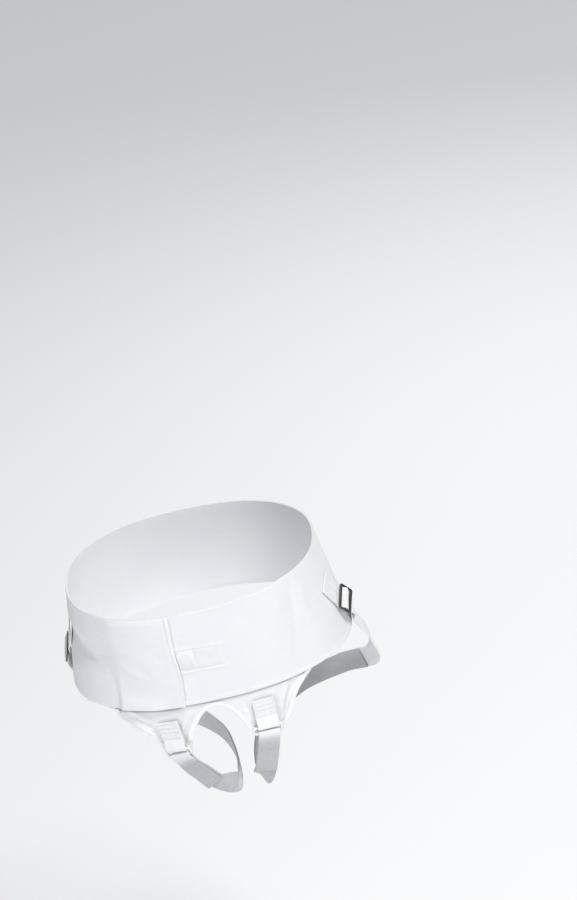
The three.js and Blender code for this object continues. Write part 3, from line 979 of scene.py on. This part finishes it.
def rail_seam(rail, points):
    """A seam over (along, out, across) points of a rail."""
    seam = []
    for (s0, n0, w0), (s1, n1, w1) in zip(points, points[1:]):
        count = max(1, round(math.hypot(s1 - s0, w1 - w0)))
        for i in range(count + 1):
            s, n, w = (lerp(a, b, i / count) for a, b in ((s0, s1), (n0, n1), (w0, w1)))
            seam.append((rail.place(s, n, w), rail.frame_at(s)[1]))
    return seam


def cross_seam(rail, s, out, half, drift=0.0):
    return rail_seam(rail, [(s, out, drift - half), (s, out, drift + half)])


def box_seam(rail, start, end, out, half):
    corners = [(start, half), (start, -half), (end, -half), (end, half), (start, half)]
    return rail_seam(rail, [(s, out, w) for s, w in corners])


# Ring tabs: webbing sewn to the panel's two points with a box of stitches and two cross rows.
# Each is folded double through the loop.
web_half = web_width / 2 - 2
row_sink, row_half, row_gap = 0.35, 1.5, 6.0
for name, rail in rails.items():
    top, low = 3.5, rail.upper - 15
    seam_rows = [top, top + row_gap, top + 2 * row_gap, low]

    def sewn_web(run, w, rows=seam_rows):
        return -row_sink * max(max(0.0, 1 - abs(run + 1 - row) / row_half) for row in rows)

    path = [(s, tab_front) for s in steps(1, rail.upper - 14, 0.8)]
    path += [
        (s, lerp(tab_front, bar_out + tab_turn, smooth((s - rail.upper + 14) / 13)))
        for s in steps(rail.upper - 12.5, rail.upper - 1.5, 1.5)
    ]
    path += half_turn(rail.upper, bar_out, tab_turn, 1)
    path += [(s, tab_back) for s in steps(rail.upper - 2, 1, 2.0)]
    tab, length = web_strip("ring_tab_web_" + name, rail, path, web_thick, webbing, sewn_web, 0.3)
    face = tab_front + web_thick / 2
    seams = [box_seam(rail, top, low, face, web_half)]
    seams += [cross_seam(rail, s, face, web_half) for s in seam_rows[1:3]]
    tab_stitches = sew("ring_tab_stitches_" + name, seams)
    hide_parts("ring_tab_" + name)
    length * MM


# Strap loops: moulded white plastic, a round bar closed to a rounded rectangle. The ring tab
# holds the upper bar and the leg strap folds over the lower one.
loop_plastic = Finish("loop_plastic", Coat_Weight=0.15, Coat_Roughness=0.25)
grain = loop_plastic.noise(700.0, loop_plastic.object_place(), 2.0)
scuff = loop_plastic.noise(160.0, loop_plastic.object_place(), 4.0, 0.65)
loop_plastic.colour(
    loop_plastic.mix(scuff.band(0.4, 0.75), (0.84, 0.84, 0.82, 1), (0.76, 0.76, 0.75, 1))
)
loop_plastic.roughness(0.3 + scuff * 0.25)
loop_plastic.relief(grain, 0.00008, 0.4)
loop_tall = pitch / 2
loop_wide = web_width / 2 + 1 + bar
loop_corner, loop_sides = 2.6, 16
loop_more = {"left": 0.0, "right": 2.2}


def loop_track(more):
    """The bar's centre line and outward side: a rectangle with round corners, in order.

    One end is longer by more.
    """
    track = []
    wide = loop_wide + more
    centres = [(loop_tall, wide), (-loop_tall, wide), (-loop_tall, -loop_wide),
               (loop_tall, -loop_wide)]
    for quarter, (s, w) in enumerate(centres):
        s -= math.copysign(loop_corner, s)
        w -= math.copysign(loop_corner, w)
        for i in range(7):
            a = math.pi / 2 * (quarter + i / 6)
            side_out = (math.cos(a), math.sin(a))
            track.append((s + side_out[0] * loop_corner, w + side_out[1] * loop_corner, side_out))
    return track + [track[0]]


for name, rail in rails.items():
    track = loop_track(loop_more[name])
    bm = bmesh.new()
    bmesh.ops.create_grid(bm, x_segments=len(track) - 1, y_segments=loop_sides, size=0.5)
    for v in bm.verts:
        s, w, (side_s, side_w) = track[round((v.co.x + 0.5) * (len(track) - 1))]
        a = 2 * math.pi * round((v.co.y + 0.5) * loop_sides) / loop_sides
        reach = bar * math.cos(a)
        out = bar_out + bar * math.sin(a)
        v.co = rail.place(rail.ring + s + side_s * reach, out, w + side_w * reach) * MM
    bmesh.ops.remove_doubles(bm, verts=bm.verts, dist=0.00001)
    bmesh.ops.recalc_face_normals(bm, faces=bm.faces)
    loop = as_piece(bm, "strap_loop_bar_" + name, loop_plastic)
    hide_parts("strap_loop_" + name)


# Leg straps: soft pile-faced straps, pale bluish grey. The free end folds back over the loop's
# lower bar and is fastened to the long run, which goes down, back and up to the hip strap.
pile = Finish("soft_pile", Roughness=0.95, Sheen_Weight=0.45, Specular_IOR_Level=0.15)
flat, along = pile.flat_place()[:2]
tufts = pile.noise(1300.0, flat, 2.0, 0.6)
nap = pile.noise(160.0, flat, 3.0, 0.6)
plush = pile.mix(nap.band(0.25, 0.75), (0.46, 0.463, 0.485, 1), (0.50, 0.503, 0.525, 1))
# Painted highlight: the pile is painted paler where the strap turns over the bar and faces up to
# the light.
painted_turn_highlight = along.band(0.038, 0.055) * (1 - along.band(0.062, 0.09))
pile.colour(pile.mix(painted_turn_highlight * 0.85, plush, (0.86, 0.87, 0.89, 1)))
pile.relief(tufts * 0.6 + nap * 0.25, 0.0005, 0.7)
strap_turn = bar + layer_gap + strap_thick / 2
strap_under = max(0.1 + strap_thick / 2, bar_out - strap_turn)
strap_over = strap_under + strap_thick + layer_gap
crown_rise, ripple_rise = 0.25, 0.12
strap_half = web_width / 2 - 1.5
strap_drift = {"left": 2.6, "right": 0.0}


def crowned(run, w):
    """Thicker along its middle, with slight ripples."""
    crown = crown_rise * (1 - (2 * w / web_width) ** 2)
    return crown + ripple_rise * math.sin(run / 9.0) * math.sin(w / 5.0)


for name, rail in rails.items():
    path = [(s, strap_over) for s in steps(rail.lower + fold_back, rail.lower + 12, 2.2)]
    path += [
        (s, lerp(strap_over, bar_out + strap_turn, smooth((rail.lower + 12 - s) / 11)))
        for s in steps(rail.lower + 10.5, rail.lower + 1.5, 1.5)
    ]
    path += half_turn(rail.lower, bar_out, strap_turn, -1)
    path += [
        (s, lerp(bar_out - strap_turn, strap_under, smooth((s - rail.lower) / 8)))
        for s in steps(rail.lower + 2, rail.seam - 4, 2.5)
    ]
    path += [(s, strap_under) for s in steps(rail.seam, rail.seam + seam_lap, 4)]
    drift = strap_drift[name]
    strap, length = web_strip(
        "leg_strap_pile_" + name, rail, path, strap_thick, pile, crowned, 0.6, drift
    )
    face = strap_over + strap_thick / 2 + 0.2
    end_row = rail.lower + fold_back - 2.5
    first_row = end_row - 4 if name == "left" else rail.lower + 24
    seams = [cross_seam(rail, s, face, strap_half, drift) for s in (first_row, end_row)]
    strap_stitches = sew("leg_strap_stitches_" + name, seams)
    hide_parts("leg_strap_" + name)
    length * MM
    "strap_loop_bar_" + name


# Hip straps: thin white webbing sewn over the end of each leg strap, threaded through the slide
# and sewn to the outside of the band.
# Its end is turned under on the real belt; here it is left flat.
hip_pass = slide_thick / 2 + layer_gap + web_thick / 2 + 0.1
lap_out = strap_under + strap_thick / 2 + layer_gap * 2 + web_thick / 2
slot_gap = (slide_length - 3 * slide_bar) / 2
# The way through the slide, as distance from its middle and out: under the outer bars, through
# both slots and over the middle bar.
weave_way = [
    (slide_length / 2 - slide_bar * 0.9, -hip_pass),
    (slide_length / 2 - slide_bar - slot_gap * 0.5, 0),
    (slide_length / 2 - slide_bar - slot_gap * 0.96, hip_pass),
]
for name, rail in rails.items():
    far_edge = rail.near - slide_length
    slide_middle = rail.near - slide_length / 2
    lap_end = rail.seam + seam_lap
    bends = [(s, lap_out) for s in steps(rail.seam + 4, lap_end, 4)]
    bends += [(s, lerp(lap_out, 0, smooth((s - lap_end) / 22)))
                 for s in steps(lap_end + 4, far_edge - 12, 8)]
    bends += [(s, lerp(0, -hip_pass, smooth((s - far_edge + 12) / 10)))
                 for s in steps(far_edge - 8, far_edge - 2, 3)]
    bends += [(slide_middle - off, n) for off, n in weave_way]
    bends.append((slide_middle, hip_pass + 0.12))
    bends += [(slide_middle + off, n) for off, n in reversed(weave_way)]
    bends += [(s, lerp(-hip_pass, 0, smooth((s - rail.near - 1.5) / 8)))
                 for s in steps(rail.near + 1.5, rail.near + 9, 2.5)]
    bends += [(s, 0) for s in steps(rail.near + 13, rail.length, 6)]
    bent = [Vector((s, n, 0)) for s, n in bends]
    path = []
    for i in range(len(bent) - 1):
        count = max(2, round((bent[i + 1] - bent[i]).length / 1.3))
        path += [curve_point(bent, i + j / count)[:2] for j in range(count)]
    path.append(bent[-1][:2])
    hip, length = web_strip("hip_strap_web_" + name, rail, path, web_thick, webbing, flat_web, 0.3)
    face = lap_out + web_thick / 2
    box_start, box_end = rail.seam + 7, lap_end - 4
    seams = [box_seam(rail, box_start, box_end, face, web_half)]
    for w in (web_half, -web_half):
        seams.append(rail_seam(rail, [(box_start, face, w), (box_end, face, -w)]))
    seams.append(cross_seam(rail, rail.length - 3, web_thick / 2, web_half))
    hip_stitches = sew("hip_strap_stitches_" + name, seams)
    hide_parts("hip_strap_" + name)
    length * MM


# Slides: small nickel-plated adjusters with three bars, stamped and polished, through which
# the hip strap passes so that the leg strap can be drawn up.
nickel = Finish("nickel", Metallic=1.0)
tarnish = nickel.noise(260.0, nickel.object_place(), 4.0, 0.65)
brushed = nickel.noise(1500.0, nickel.object_place(), 2.0)
# Painted shade: the colour is kept far darker than bare nickel, so that the polished bars read
# dark against the white cloth.
nickel.colour(
    nickel.mix(tarnish.band(0.35, 0.75), (0.17, 0.165, 0.15, 1), (0.09, 0.087, 0.08, 1))
)
nickel.roughness(0.18 + tarnish * 0.22)
nickel.relief(brushed, 0.00005, 0.35)
slide_half = web_width / 2 + 3
slot_reach = slide_half - 2
slide_corner, slide_edge = 2.2, 0.9
slide_skew = {"left": 0, "right": 6}
near_slot, far_slot = slide_bar + slot_gap, slide_length - slide_bar - slot_gap
along_lines = [0, slide_bar, near_slot, far_slot, slide_length - slide_bar, slide_length]
wide_lines = [-slide_half, -slot_reach, slot_reach, slide_half]
for name, rail in rails.items():
    far_edge = rail.near - slide_length
    bm = bmesh.new()
    bmesh.ops.create_grid(bm, x_segments=5, y_segments=3, size=0.5)
    for v in bm.verts:
        v.co.x = along_lines[round((v.co.x + 0.5) * 5)]
        v.co.y = wide_lines[round((v.co.y + 0.5) * 3)]
    slots = []
    for face in bm.faces:
        middle = face.calc_center_median()
        past = abs(middle.x - slide_length / 2)
        if abs(middle.y) < 1 and slide_bar / 2 < past < slide_length / 2 - slide_bar:
            slots.append(face)
    bmesh.ops.delete(bm, geom=slots, context="FACES_ONLY")
    corners = [v for v in bm.verts if v.co.x in (0, slide_length) and abs(v.co.y) == slide_half]
    bmesh.ops.bevel(bm, geom=corners, offset=slide_corner, segments=4, profile=0.5,
                    affect="VERTICES", material=-1)
    bmesh.ops.subdivide_edges(bm, edges=[e for e in bm.edges if e.calc_length() > 8], cuts=6)
    skew = math.radians(slide_skew[name])
    for v in bm.verts:
        x, w = v.co.x - slide_length / 2, -v.co.y
        s = far_edge + slide_length / 2 + x * math.cos(skew) - w * math.sin(skew)
        v.co = rail.place(s, 0.0, x * math.sin(skew) + w * math.cos(skew)) * MM
    bmesh.ops.recalc_face_normals(bm, faces=bm.faces)
    slide = as_piece(bm, "slide_plate_" + name, nickel)
    thicken(slide, slide_thick, 0, slide_edge, segments=4, angle=40)
    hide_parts("slide_" + name)
